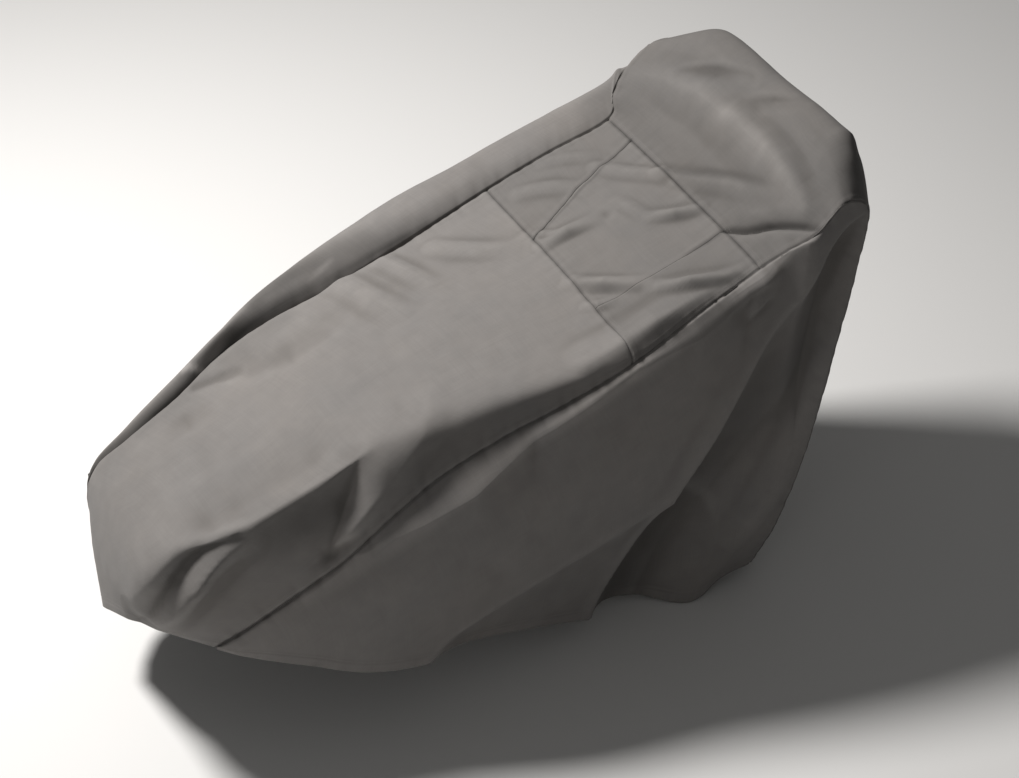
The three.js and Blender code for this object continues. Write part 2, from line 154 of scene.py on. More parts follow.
# Side panels: section, then shoulder, wall and hem x, y, z
sidePanels = {
    "right": np.array([
        [0, 122, 181, 278, 123, 182, 276, 124, 183, 274],  # foot of the seam
        [2, 150, 204, 300, 162, 209, 284, 172, 206, 254],
        [4, 267, 249, 391, 278, 261, 340, 266, 264, 240],
        [6, 441, 287, 500, 430, 305, 392, 396, 310, 208],
        [8, 651, 297, 592, 642, 309, 430, 618, 296, 150],
        [10, 892, 306, 707, 888, 310, 470, 876, 284, 84],
        [12, 1153, 296, 808, 1130, 314, 520, 1050, 268, 38],
        [14, 1240, 334, 886, 1230, 340, 520, 1136, 262, 76],
        [16, 1345, 318, 890, 1310, 328, 520, 1204, 262, 85],  # back corner
    ], float),
    "left": np.array([
        [0, 9, 118, 188, 11, 121, 186, 13, 124, 182],  # foot of the seam
        [1, 17, 150, 326, 26, 162, 262, 32, 154, 187],
        [2, 30, 186, 437, 48, 210, 330, 62, 188, 192],
        [3, 121, 208, 506, 140, 244, 356, 138, 226, 199],
        [4, 222, 225, 564, 240, 270, 380, 215, 262, 205],
        [5, 318, 238, 628, 332, 296, 400, 305, 287, 203],
        [6, 436, 293, 652, 424, 326, 420, 396, 310, 200],
        [8, 667, 350, 700, 646, 366, 430, 620, 300, 170],
        [10, 908, 368, 759, 892, 380, 470, 876, 286, 88],
        [12, 1164, 352, 850, 1134, 362, 520, 1060, 274, 56],
        [14, 1228, 341, 888, 1230, 342, 520, 1140, 266, 74],
        [16, 1345, 318, 890, 1310, 328, 520, 1204, 262, 85],  # back corner
    ], float),
    "backPull": 3,  # sections over which a side is drawn back to the back seam
    # shares of the drop under the seam over which the big folds die out
    "rightHold": 0.14,
    "leftHold": 0.35,
    "rampRows": (177, 0.15),  # count, and how they crowd at the ends
    "headRows": (60, 0.5),
    "columns": 176,
    # uneven lower edge of the ledge under the right seam: section and share of its even width
    "ledge": np.array([
        [3.5, 1.0], [5.0, 0.5], [5.6, 0.7], [6.0, 1.0], [6.4, 1.22], [7.35, 1.4], [7.9, 1.08], [8.4, 0.74],
        [8.9, 0.85], [9.3, 0.92], [10.05, 0.85], [10.5, 1.3], [10.9, 1.75], [11.3, 1.45], [11.7, 0.95],
        [12.2, 0.9],
    ]),
    "ledgeCrisp": 0.8,
    "ledgeFrom": (3.5, 5),  # sections over which it sets in
    "ledgeTo": (12, 13),  # and over which it dies out
    "ledgeSoft": (1.3, 1.9),  # down the cloth, from 1 at the shoulder to 2 at the wall
    # how far the left roll is blown up, as a share of its breadth, by section
    "rollRise": np.array([
        [2.5, 0], [3.2, 0.16], [4, 0.22], [5.2, 0.1], [6, 0.24], [8, 0.22], [9.5, 0.14], [12, 0.03],
        [13, 0],
    ]),
    "rollFoot": 1.3,  # where that ends, with 1 at the shoulder
    "rollShare": 0.3,  # of the drop, on which the roll's tones are placed
    "foldFree": (20.0, 40.0),  # from side and back seam, over which creases die out
    "backSeamFrom": 12.0,  # from the side seam, over which the back seam sets in
    # big folds on the side view: from x, z, to x, z, crisp width, soft width, height at both ends
    "rightFolds": [
        (1362, 784, 966, 60, 128, 120, -50, -62),  # deep valley ahead of the back corner
        (972, 214, 600, 95, 150, 220, -30, -34),  # hem turned under
        (1150, 815, 1100, 760, 40, 40, 8, 0),  # lump under the seam beside the chest
    ],
    "leftFolds": [
        (1260, 780, 1080, 90, 190, 120, -6, -36),  # valley ahead of the back corner
        (600, 160, 860, 90, 130, 190, -25, -30),  # hem turned under
        (420, 480, 560, 200, 90, 90, 0, 14),  # swell towards the hem
    ],
}

# Creases run through three places of two coordinates each. Then come widths to the left and right of the way
# they run, seen from outside, heights at the three places, crisp, from 0 for a round fold over 1 for a sharp
# one to 2 for one with flat sides, and spread, how many times wider the left side starts than it ends.
creaseEnd = {11: (0, 1), 12: (1,), 13: ()}  # crisp and spread that a row of so many values leaves out

# Creases of the centre run, placed by x and y
runCreases = [
    (560, 222, 588, 130, 620, 40, 34, 48, 8, 9, 0, 0.3),  # wrinkles from the left seam into the ramp
    (648, 220, 672, 150, 692, 84, 26, 36, 8, 9, 0, 0.5),
    (742, 190, 800, 132, 868, 84, 30, 36, 5, 7, 0, 0.3),
    (318, 150, 405, 112, 492, 128, 62, 50, -4, -8, -3),
    (246, 172, 290, 152, 330, 140, 26, 24, -4, -5, 0, 0.2),
    (130, 96, 200, 104, 262, 98, 40, 40, 0, -4, 0),
    (1072, 170, 1108, 112, 1146, 62, 22, 28, 4, 7, 6, 0.2),  # long wrinkle over the upper cross seam
    (1148, 60, 1186, -40, 1224, -196, 22, 30, 6, 7, 1, 0.2),
    (1064, -14, 1112, -50, 1152, -70, 20, 22, 0, 9, 3, 0.1),  # wrinkles of the chest
    (894, 56, 946, 54, 1016, 38, 22, 24, 3, 9, -2, 0.1),
    (876, -50, 932, -112, 1000, -174, 22, 26, 0, 11, 0, 0.1),
    (976, -170, 1044, -224, 1124, -258, 26, 22, 0, 14, 3, 0.2),
    (870, -130, 900, -150, 932, -162, 16, 18, 0, 5, 0, 0.1),
    (1040, 70, 1062, 20, 1070, -40, 20, 22, 0, 4, 0, 0.3),
    (932, 222, 984, 184, 1024, 132, 24, 28, 3, 7, 2, 0.3),  # streaks of the left strip
    (1000, 262, 1046, 232, 1092, 190, 22, 24, 2, 5, 0, 0.3),
    (898, 104, 914, 82, 938, 63, 14, 14, 0, 6, 0, 0.1),
    (830, -264, 956, -267, 1096, -262, 70, 24, 8, 18, 0, 0.2),  # lip along the right seam
    (1222, 278, 1250, 150, 1258, 10, 60, 66, 5, 11, 6, 0.3),  # brow of the head
    (1258, 10, 1260, -124, 1246, -268, 44, 76, 6, 15, 7, 0.6),
    (1316, -190, 1352, -200, 1376, -206, 44, 34, 0, 4, 7, 0.6),  # its right shoulder
    (1262, 184, 1292, 118, 1318, 46, 18, 36, -2, -6, -2, 0.2),  # wrinkles of the head's top
    (1284, 4, 1314, -40, 1344, -88, 18, 34, -1, -4, -1, 0.2),
    (1155, -159, 1192, -228, 1238, -316, 40, 8, -9, -18, -10, 0.9),  # pleat to the head's corner
    (1280, -160, 1264, -228, 1250, -286, 30, 30, 0, -3, -2, 0.1),
]

# Creases of the steep slope right of the ramp, placed by x and z
slopeCreases = [
    (16, 292, 70, 462, 184, 530, 14, 34, -7, -16, -5, 1.6, 4.0),  # trough beside the nose
    (34, 330, 100, 450, 190, 522, 42, 46, 6, 33, 9, 1.3),  # its crest
    (318, 470, 366, 512, 420, 566, 70, 24, 3, 12, 4, 0.8),  # foot of the bright facet
    (398, 622, 368, 557, 325, 470, 55, 60, -9, -17, -14, 0.75),  # trough between dark and bright facet
    (552, 682, 468, 607, 384, 512, 45, 60, 4, 9, 5, 0.5),  # crest beside the bright facet
]

# Painted light and shade of the centre run by x and y, laid out like creases: painted light above zero,
# painted shade below, and darker seams
runPaintedLightAndTones = [
    (1226, 270, 1254, 150, 1262, 20, 34, 44, 0.04, 0.12, 0.12),  # painted highlight on the brow of the head
    (1262, 20, 1262, -110, 1246, -250, 22, 58, 0.12, 0.24, 0.12),
    (1300, 120, 1330, 0, 1340, -140, 40, 40, 0.02, 0.07, 0.03),  # painted highlight on its top
    (900, -90, 960, -150, 1030, -220, 50, 50, 0.03, 0.09, 0.03),  # painted highlight on the foot of the chest
    (1080, -40, 1112, -63, 1146, -80, 14, 16, -0.1, -0.32, -0.18),  # painted shade in its wrinkles
    (890, -82, 932, -132, 986, -180, 14, 16, -0.1, -0.3, -0.1),
    (1000, -204, 1050, -242, 1120, -268, 14, 18, -0.14, -0.42, -0.24),
    (904, 40, 946, 38, 1000, 24, 14, 16, -0.1, -0.3, -0.06),
    (1160, 50, 1198, -52, 1232, -190, 16, 14, -0.16, -0.22, -0.02),
    (1150, -155, 1116, -156, 1078, -158, 8, 10, -0.3, -0.3, -0.04, 0.2),  # painted shade along its right seam
    (1157, -160, 1193, -227, 1237, -312, 18, 6, -0.4, -0.5, -0.35, 0.2),  # painted shade in the pleat
    # painted shade in the wrinkles of the head's top
    (1264, 184, 1294, 118, 1320, 46, 18, 34, -0.04, -0.12, -0.04),
    (1286, 4, 1314, -40, 1344, -88, 16, 32, -0.02, -0.08, -0.02),
    (20, -60, 60, 0, 110, 60, 120, 120, -0.06, -0.08, -0.06),  # painted shade on the nose
    (60, 156, 225, 176, 428, 208, 46, 60, -0.16, -0.22, -0.14),  # painted shade on the ramp beside the left seam
    (892, 270, 892, 40, 892, -230, 7, 7, -0.24, -0.28, -0.14, 0.2),  # darker in the cross seams
    (1153, 262, 1153, 0, 1153, -262, 7, 7, -0.2, -0.28, -0.2, 0.2),
    (892, 84, 1022, 135, 1153, 186, 7, 7, -0.24, -0.26, -0.24, 0.2),  # and in the left chest seam
]

# Painted light and shade of the slope and of the right side by x and z
slopePaintedLight = [
    (18, 334, 76, 476, 182, 534, 14, 8, -0.3, -0.34, -0.25, 0.4, 3.0),  # painted shade on the far wall of the nose's trough
    (44, 352, 100, 462, 180, 522, 34, 8, -0.08, -0.2, -0.16, 0.1),  # painted shade on its lit wall
    (226, 520, 290, 540, 352, 560, 70, 80, -0.2, -0.34, -0.26),  # painted shade on the dark facet
    (430, 566, 570, 630, 770, 690, 50, 60, -0.08, -0.15, -0.06),  # painted shade on the upper slope
    (398, 616, 376, 566, 340, 498, 44, 6, 0.1, 0.48, 0.42, 0.1),  # painted highlight on the bright facet
]
rightPaintedLight = [
    (267, 392, 560, 556, 892, 708, 40, 30, 0.12, 0.34, 0.32),  # painted light on the ledge
    (892, 706, 1020, 764, 1140, 812, 34, 26, 0.3, 0.46, 0.26),
    (1290, 700, 1130, 420, 960, 110, 70, 120, -0.18, -0.34, -0.28),  # painted shade in the valley
]

# Painted light and shade of the left roll by x and y
leftPaintedLight = [
    (40, 180, 180, 189, 293, 208, 20, 14, -0.45, -0.62, -0.6, 0.2),  # painted shade on the dark flank
    (293, 208, 384, 231, 500, 243, 24, 16, -0.6, -0.62, -0.22, 0.2),
    (500, 243, 700, 258, 900, 272, 12, 12, -0.06, -0.4, -0.22, 0.3),
    (400, 260, 490, 278, 640, 280, 40, 32, -0.36, -0.52, -0.26),
    (110, 206, 250, 228, 420, 272, 16, 16, 0.06, 0.02, 0.0),  # painted light on the top
    (420, 268, 740, 300, 1100, 316, 44, 44, 0.0, 0.22, 0.16),
    (240, 214, 258, 208, 276, 202, 12, 10, 0.6, 1.3, 0.6, 0.2),  # painted highlights on kinks that catch the light
    (512, 254, 534, 260, 560, 268, 10, 10, 0.15, 0.4, 0.2, 0.3),
]

# Creases down the back, placed by y and z
backCreases = [
    (-70, 930, -96, 560, -128, 90, 70, 52, 0, 9, 12, 0.1),
    (64, 900, 88, 520, 116, 80, 56, 74, 0, -8, -11, 0.1),
    (-8, 640, 4, 380, 10, 70, 44, 44, 0, 6, 9, 0.2),
    (-186, 880, -206, 640, -196, 420, 40, 40, 0, -5, 0, 0.2),
    (170, 860, 196, 600, 190, 300, 44, 44, 0, 6, 0, 0.2),
    (-150, 955, -40, 925, 90, 948, 26, 34, 0, -4, 0, 0.3),
]

# Creases of the right side, placed by x and z
rightCreases = [
    (1180, 700, 1050, 480, 930, 250, 60, 60, 0, 4, 0, 0.1),  # faint folds of the wall
    (560, 470, 640, 390, 700, 300, 60, 60, 0, 3, 0),
    (1300, 640, 1240, 420, 1150, 190, 40, 46, 0, 8, 4, 0.3),  # back bulge
    (1180, 792, 1140, 770, 1120, 740, 18, 24, 0, 7, 0, 0.5),  # lump under the seam beside the chest
]

# Creases of the left side, placed by x and z
leftCreases = [
    (700, 700, 760, 480, 800, 260, 60, 60, 0, 6, 8, 0.1),
    (980, 760, 960, 480, 940, 160, 56, 70, 0, -8, -10, 0.1),
    (480, 560, 520, 420, 560, 240, 60, 60, 0, 5, 8, 0.1),
]


# Smooth rise from 0 at low to 1 at high: 3 t^2 - 2 t^3.
def smoothstep(value, low, high):
    t = np.clip((value - low) / (high - low), 0, 1)
    return t * t * (3 - 2 * t)


# Rise over one span and fall over another: the product of two smoothsteps.
def hump(value, rise, fall):
    return smoothstep(value, *rise) * (1 - smoothstep(value, *fall))


# Straight mix, a at t = 0 and b at t = 1.
def mix(a, b, t):
    return a + (b - a) * t


# Straight way over an edge: start at t = 0, the edge at 1 and end at 2.
def overEdge(start, edge, end, t):
    first = mix(start[:, None], edge[:, None], np.clip(t, 0, 1)[..., None])
    return mix(first, end[:, None], np.clip(t - 1, 0, 1)[..., None])


# Vectors on the last axis, divided by their lengths.
def unit(vectors):
    return vectors / np.maximum(np.linalg.norm(vectors, axis=-1, keepdims=True), 1e-9)


# Rows of a table at places t between them: a cubic through the rows, with slopes halfway between neighbours.
def between(rows, t):
    last = len(rows) - 1
    padded = np.vstack([2 * rows[0] - rows[1], rows, 2 * rows[-1] - rows[-2]])
    i = np.clip(np.floor(t).astype(int), 0, last - 1)
    f = (t - i)[:, None]
    a, b, c, d = (padded[i + k] for k in range(4))
    slopeIn, slopeOut, rise = (c - a) / 2, (d - b) / 2, c - b
    return b + f * (slopeIn + f * (3 * rise - 2 * slopeIn - slopeOut + f * (slopeIn + slopeOut - 2 * rise)))


# Points at shares t of an even cubic B-spline over the given points, one each for every row of t, and the
# places halfway between them. It starts and ends on its outer points.
def spline(points, t):
    control = [points[0]]
    for point in points[1:]:
        control += [(control[-1] + point) / 2, point]
    last = len(control) - 1
    held = np.stack([2 * control[0] - control[1], *control, 2 * control[-1] - control[-2]])
    i = np.clip(np.floor(t * last).astype(int), 0, last - 1)
    f = (t * last - i)[..., None]
    row = np.arange(t.shape[0])[:, None]
    weights = ((1 - f) ** 3, 3 * f ** 3 - 6 * f ** 2 + 4, -3 * f ** 3 + 3 * f ** 2 + 3 * f + 1, f ** 3)
    return sum(weight * held[i + k, row] for k, weight in enumerate(weights)) / 6


# Control point that takes the spline through a point, which is ten twelfths of it and one of each neighbour.
def setOut(before, through, after):
    return (12 * through - before - after) / 10


# Side seam at sections s, on the left (side 1) or the right (side -1).
def seamLine(s, side):
    row = between(centreRun["sections"], s)
    place = row[:, 5:8] + (row[:, 8:11] if side == 1 else 0)
    return place * [1, side, 1]


# Centre run without its folds: across it goes from -1 at the right seam to 1 at the left seam, over a
# spline through seam, ridge, top, ridge and seam. One stretch of the right ridge is a crisp edge.
def smoothRun(s, across):
    row = between(centreRun["sections"], s)
    top = np.stack([row[:, 0], np.zeros(len(s)), row[:, 1]], 1)
    right, left = seamLine(s, -1), seamLine(s, 1)
    rightRidge, leftRidge = (
        row[:, 2:5] * [1, side, 1] + row[:, 11:14] * [side, 1, side] for side in (-1, 1)
    )
    ridges = setOut(right, rightRidge, top), setOut(left, leftRidge, top)
    soft = spline([right, ridges[0], top, ridges[1], left], (across + 1) / 2)
    t = (across + 1) * 2
    straight = overEdge(right, rightRidge + centreRun["crispShift"], top, t)
    crisp = centreRun["crispRidge"] * hump(s, centreRun["crispFrom"], centreRun["crispTo"])
    crisp = crisp[:, None] * (1 - smoothstep(t, *centreRun["crispSoft"]))
    return mix(soft, straight, crisp[..., None])


# Side panel without its folds: down from 0 at the seam to 1 at the hem, over a spline through seam,
# shoulder, wall and hem. The right shoulder is a ledge with a crisp, uneven edge. The left one is a roll,
# blown up square to the line from seam to shoulder by u (1 - u)^2.
def hangingSide(side, s, down):
    rows = sidePanels["left" if side == 1 else "right"]
    row = between(rows, np.interp(s, rows[:, 0], np.arange(len(rows))))
    seam = seamLine(s, side)
    shoulder, wall, hem = (row[:, k:k + 3] * [1, side, 1] for k in (1, 4, 7))
    drape = spline([seam, setOut(seam, shoulder, wall), setOut(shoulder, wall, hem), hem], down)
    t = down * 3
    if side == -1:
        inLedge = hump(s, sidePanels["ledgeFrom"], sidePanels["ledgeTo"])
        share = 1 + inLedge * (np.interp(s, *sidePanels["ledge"].T) - 1)
        edge = seam + (shoulder - seam) * share[:, None]
        crisp = sidePanels["ledgeCrisp"] * inLedge[:, None] * (1 - smoothstep(t, *sidePanels["ledgeSoft"]))
        drape = mix(drape, overEdge(seam, edge, wall, t), crisp[..., None])
    else:
        breadth = (shoulder - seam) * np.interp(s, *sidePanels["rollRise"].T)[:, None]
        u = np.clip(t / sidePanels["rollFoot"], 0, 1)
        rise = 27 / 4 * u * (1 - u) ** 2  # 1 at its highest
        drape[..., 1] -= rise * breadth[:, None, 2]
        drape[..., 2] += rise * breadth[:, None, 1]
    return drape


# Sections at shares of the back seam, even from the corner of the head to the hem.
def backSections(down):
    return mix(cornerAt, hemAt, down)


# Side panel with its last sections drawn over to the back seam.
def smoothSide(side, s, down):
    backSeam = seamLine(backSections(down[0]), side)
    slip = backSeam - hangingSide(side, np.array([cornerAt]), down[:1])[0]
    pull = smoothstep(s, cornerAt - sidePanels["backPull"], cornerAt)
    return hangingSide(side, s, down) + pull[:, None, None] * slip


# Outward unit normals of a grid of points, from the cross product of its two differences.
def gridNormals(points, facing):
    return unit(np.cross(np.gradient(points, axis=0), np.gradient(points, axis=1)) * facing)


# Heights of the creases: each one is a parabola through its three places, dropped onto the smooth cloth.
# Over the distance beside it a round fold falls off as (1 - d^2)^2, a sharp one as (1 - d)^2 and one with
# flat sides as 1 - d.
def creaseHeights(points, normals, creases, axes, ground):
    height = np.zeros(points.shape[:2])
    solid = ground.reshape(-1, 3)
    steps = 8
    t = np.linspace(0, 1, steps + 1)[:, None]
    weights = np.hstack([(1 - t) * (1 - 2 * t), 4 * t * (1 - t), t * (2 * t - 1)])
    for row in creases:
        *places, left, right, fromUp, viaUp, toUp, crisp, spread = *row, *creaseEnd[len(row)]
        way = weights @ np.array(places, float).reshape(3, 2)
        line = solid[((solid[None, :, axes] - way[:, None]) ** 2).sum(2).argmin(1)].copy()
        line[:, axes] = way
        reach = max(left * spread, right)
        near = ((points > line.min(0) - reach) & (points < line.max(0) + reach)).all(2)
        place, normal = points[near], normals[near]
        step = np.diff(line, axis=0)
        away = place[:, None] - line[:-1]
        along = np.clip((away * step).sum(2) / (step * step).sum(1), 0, 1)
        gaps = away - along[..., None] * step
        k = np.linalg.norm(gaps, axis=2).argmin(1)
        at = np.arange(len(place)), k
        gap, share = gaps[at], (k + along[at]) / steps
        nearest = np.linalg.norm(gap, axis=1)
        beside = (np.cross(normal, unit(step)[k]) * gap).sum(1) / np.maximum(nearest, 1e-6)
        width = mix(right, left * mix(spread, 1, share), smoothstep(beside, -1, 1))
        d = np.clip(nearest / width, 0, 1)
        shape = mix((1 - d * d) ** 2, (1 - d) ** 2, min(crisp, 1))
        shape = mix(shape, 1 - d, max(crisp - 1, 0))
        height[near] += np.interp(share, [0, 0.5, 1], [fromUp, viaUp, toUp]) * shape
    return height


# Big folds of a side, in y alone: a dish with a crisp edge, 1 - d^3, on the right of the fold's way and a
# bell on its left.
def sideFoldHeights(points, folds):
    height = np.zeros(points.shape[:2])
    for fromX, fromZ, toX, toZ, crispWidth, softWidth, fromUp, toUp in folds:
        start, way = np.array([fromX, fromZ]), np.array([toX - fromX, toZ - fromZ])
        length = np.hypot(*way)
        ahead = way / length
        away = points[..., [0, 2]] - start
        run = away @ ahead
        past = np.maximum(np.maximum(-run, run - length), 0)
        offset = away[..., 1] * ahead[0] - away[..., 0] * ahead[1]
        distance = np.hypot(past, offset)
        dish = np.maximum(0, 1 - (distance / crispWidth) ** 3)
        bell = 1 - smoothstep(distance, 0, softWidth)
        onLeft = smoothstep(offset / np.maximum(distance, 1e-6), -1, 1)
        height += mix(fromUp, toUp, np.clip(run / length, 0, 1)) * mix(dish, bell, onLeft)
    return height


# Ripples of the cloth everywhere: sums of plane waves in seeded directions.
def ripples(points):
    dice = np.random.default_rng(cloth["seed"])
    total = np.zeros(points.shape[:2])
    for height, length in zip(cloth["rippleHeights"], cloth["rippleLengths"]):
        for turn in dice.normal(size=(cloth["waves"], 3)):
            turn *= dice.uniform(*cloth["rippleSpread"]) * 2 * math.pi / length / np.linalg.norm(turn)
            total += height * np.sin(points @ turn + dice.uniform(0, 2 * math.pi))
    return total * math.sqrt(2 / cloth["waves"])


# Unevenness along a seam: a sum of sines over its length, one set of phases for each seam.
def puckers(along, seam):
    dice = np.random.default_rng(cloth["seed"] + sewing["seeds"][seam])
    total = np.zeros_like(along)
    for length in sewing["puckerLengths"]:
        phase, wobble = dice.uniform(0, 2 * math.pi, 2)
        wander = sewing["puckerWander"] * np.sin(along / sewing["wanderLength"] + wobble)
        total += np.sin(2 * math.pi * along / length + phase + wander)
    return total / len(sewing["puckerLengths"])


# Raised lap of a seam from the signed distance to it: a low band where that is above zero.
def seamLap(distance):
    return sewing["bandHeight"] * hump(distance, sewing["bandFrom"], sewing["bandTo"])


# Height beside a seam from the distance to it: a groove and puckers that die away.
def seamHeight(distance, along, seam):
    groove = -sewing["grooveDepth"] * np.exp(-(distance / sewing["grooveWidth"]) ** 2)
    pull = np.exp(-distance / sewing["puckerReach"]) * puckers(along, seam)
    return groove + sewing["puckerHeight"] * pull


# Height at a shallower seam inside the centre run, with a lap on one side.
def innerSeam(beyond, along, seam):
    return sewing["innerShare"] * (seamHeight(np.abs(beyond), along, seam) + seamLap(beyond))


# Height of the hem from the distance to the edge: a raised band with a groove at its stitch row.
def hemHeight(distance):
    width, edge = sewing["hemWidth"], sewing["hemEdge"]
    band = 1 - smoothstep(distance, width - edge, width + edge)
    row = np.exp(-((distance - sewing["hemRow"]) / sewing["hemGrooveWidth"]) ** 2)
    return sewing["hemHeight"] * band - sewing["hemGroove"] * row


# Summed lengths over the columns (axis 1) or rows (axis 0) of a grid.
def lengthAlong(points, axis):
    steps = np.linalg.norm(np.diff(points, axis=axis), axis=2)
    return np.insert(np.cumsum(steps, axis=axis), 0, 0, axis=axis)


# Places from a to b, closer together at both ends: a mix of even steps and a cosine.
def crowded(a, b, count, crowd=0.6):
    t = np.linspace(0, 1, count)
    return mix(a, b, mix(t, 0.5 - 0.5 * np.cos(math.pi * t), crowd))


# Grid of the centre run: rows crowd towards the cross seams and columns towards the chest seams.
def makeRun():
    s = np.concatenate([
        crowded(0, lowerAt, centreRun["rampRows"])[:-1],
        crowded(lowerAt, upperAt, centreRun["chestRows"])[:-1],
        crowded(upperAt, cornerAt, centreRun["headRows"])[:-1],
        crowded(cornerAt, hemAt, centreRun["backRows"]),
    ])
    even = np.linspace(-1, 1, centreRun["fineColumns"])
    ends = smoothRun(np.array([lowerAt, upperAt], float), np.vstack([even, even]))
    upChest = np.clip((s - lowerAt) / (upperAt - lowerAt), 0, 1)
    right, left = (
        mix(*(np.interp(y, ends[k, :, 1], even) for k, y in enumerate(centreRun[seam])), upChest)[:, None]
        for seam in ("chestRight", "chestLeft")
    )
    inStrip = crowded(0, 1, centreRun["stripColumns"] + 1)
    inMiddle = crowded(0, 1, centreRun["middleColumns"] + 1)
    across = np.hstack([
        mix(-1, right, inStrip)[:, :-1],
        mix(right, left, inMiddle),
        mix(left, 1, inStrip)[:, 1:],
    ])
    return s, smoothRun(s, across)


# Shared normals of the centre run and the sides where they meet: the sum of both, at unit length.
def shareSeamNormals(run, sides):
    for side, column in ((-1, 0), (1, -1)):
        panel = sides[side]
        seamS = np.concatenate([panel["s"], backSections(panel["down"][1:])])
        edge = np.vstack([panel["normals"][:, 0], panel["normals"][-1, 1:]])
        for k in range(3):
            run["shared"][:, column, k] += np.interp(run["s"], seamS, edge[:, k])
            edge[:, k] += np.interp(seamS, run["s"], run["normals"][:, column, k])
        edge = unit(edge)
        panel["shared"][:, 0] = edge[:len(panel["s"])]
        panel["shared"][-1] = edge[len(panel["s"]) - 1:]
        run["shared"][:, column] = unit(run["shared"][:, column])


runS, runPoints = makeRun()
run = {"s": runS, "points": runPoints, "normals": gridNormals(runPoints, 1)}
run["shared"] = run["normals"].copy()
sides = {}
for side in (-1, 1):
    s = np.concatenate([
        crowded(0, upperAt, *sidePanels["rampRows"])[:-1],
        crowded(upperAt, cornerAt, *sidePanels["headRows"]),
    ])
    down = crowded(0, 1, sidePanels["columns"])
    points = smoothSide(side, s, np.tile(down, (len(s), 1)))
    sides[side] = {"s": s, "down": down, "points": points, "normals": gridNormals(points, side)}
    sides[side]["shared"] = sides[side]["normals"].copy()
shareSeamNormals(run, sides)
print("smooth cloth:", run["points"].shape, sides[1]["points"].shape)


# Centre run with creases, ripples, seams and hems, moved along its normals.
def dressRun():
    points, s = run["points"], run["s"]
    onTop = s <= cornerAt
    height = creaseHeights(points, run["normals"], runCreases, [0, 1], points[onTop])
    slope = points[s <= lowerAt, :centreRun["slopeColumns"]]
    height += creaseHeights(points, run["normals"], slopeCreases, [0, 2], slope)
    onBack = (s > centreRun["backFrom"])[:, None]
    height += creaseHeights(points, run["normals"], backCreases, [1, 2], points[~onTop]) * onBack
    acrossLength, alongLength = lengthAlong(points, 1), lengthAlong(points, 0)
    fromSeams = {"right": acrossLength, "left": acrossLength[:, -1:] - acrossLength}
    for distance in fromSeams.values():
        height *= smoothstep(distance, 0, centreRun["foldFree"])
    height += ripples(points)
    for (seam, distance), column in zip(fromSeams.items(), (0, -1)):
        height += seamHeight(distance, alongLength[:, column, None], seam) + seamLap(distance)
    for seam in ("lowerSeam", "upperSeam"):
        at = np.abs(s - centreRun[seam]).argmin()
        height += innerSeam(alongLength - alongLength[at], acrossLength, seam)
    inChest = ((s >= lowerAt) & (s <= upperAt))[:, None]
    drawn = mix(centreRun["rightSeamFlat"], 1, smoothstep(s, *centreRun["rightSeamFrom"]))[:, None]
    strip = centreRun["stripColumns"]
    for seam, column, share in (("chestRight", strip, drawn), ("chestLeft", -1 - strip, 1)):
        beyond = acrossLength - acrossLength[:, column][:, None]
        height += inChest * share * innerSeam(beyond, alongLength, seam)
    height += hemHeight(alongLength) + hemHeight(alongLength[-1] - alongLength)
    # Painted light and shade, and darker seams, from the tone tables
    run["tone"] = creaseHeights(points, run["normals"], runPaintedLightAndTones, [0, 1], points[onTop])
    run["tone"] += creaseHeights(points, run["normals"], slopePaintedLight, [0, 2], slope)
    return points + run["shared"] * height[..., None]


# Side panel with its folds, which stand out sideways, then creases, ripples, seams and hem.
def dressSide(side):
    panel = sides[side]
    points = panel["points"].copy()
    name = "left" if side == 1 else "right"
    hold = smoothstep(panel["down"], 0, sidePanels[name + "Hold"])
    ahead = 1 - smoothstep(panel["s"], cornerAt - 1, cornerAt)
    folds = sideFoldHeights(points, sidePanels[name + "Folds"])
    points[..., 1] += side * hold * ahead[:, None] * folds
    panel["shared"][1:-1, 1:] = gridNormals(points, side)[1:-1, 1:]
    panel["shared"][0] = panel["shared"][1]
    creases = leftCreases if side == 1 else rightCreases
    downLength, alongLength = lengthAlong(points, 1), lengthAlong(points, 0)
    fromBack = alongLength[-1] - alongLength
    seamFree, backFree = sidePanels["foldFree"]
    free = smoothstep(downLength, 0, seamFree) * smoothstep(fromBack, 0, backFree)
    height = free * creaseHeights(points, panel["shared"], creases, [0, 2], points) + ripples(points)
    runLength = lengthAlong(run["points"], 0)[:, -1 if side == 1 else 0]
    seamAt = np.interp(panel["s"], run["s"], runLength)[:, None]
    backAt = np.interp(backSections(panel["down"]), run["s"], runLength)[None]
    height += seamHeight(downLength, seamAt, name)
    height += seamHeight(fromBack, backAt, name) * smoothstep(downLength, 0, sidePanels["backSeamFrom"])
    height += hemHeight(downLength[:, -1:] - downLength)
    # Painted light and shade of the roll or of the right side
    roll = points[:, panel["down"] < sidePanels["rollShare"]]
    tones = (leftPaintedLight, [0, 1], roll) if side == 1 else (rightPaintedLight, [0, 2], points)
    panel["tone"] = creaseHeights(points, panel["shared"], *tones)
    return points + panel["shared"] * height[..., None]


run["dressed"] = dressRun()
for side in (-1, 1):
    sides[side]["dressed"] = dressSide(side)
print("folds and seams laid on the cloth")


# How far the dressed cloth stands above the mean of its neighbours, for its wear and its darker hollows.
def ridgeShare(points, normals):
    even = points.copy()
    for _ in range(cloth["wearRounds"]):
        for axis in (0, 1):
            edge = np.concatenate([np.take(even, [0], axis), even, np.take(even, [-1], axis)], axis)
            count = even.shape[axis]
            even = sum(np.take(edge, range(k, k + count), axis) for k in range(3)) / 3
    return np.clip(((points - even) * normals).sum(2) / cloth["wearHeight"], -1, 1)


# New object in the scene's own collection.
def addObject(name, data):
    made = bpy.data.objects.new(name, data)
    bpy.context.scene.collection.objects.link(made)
    return made


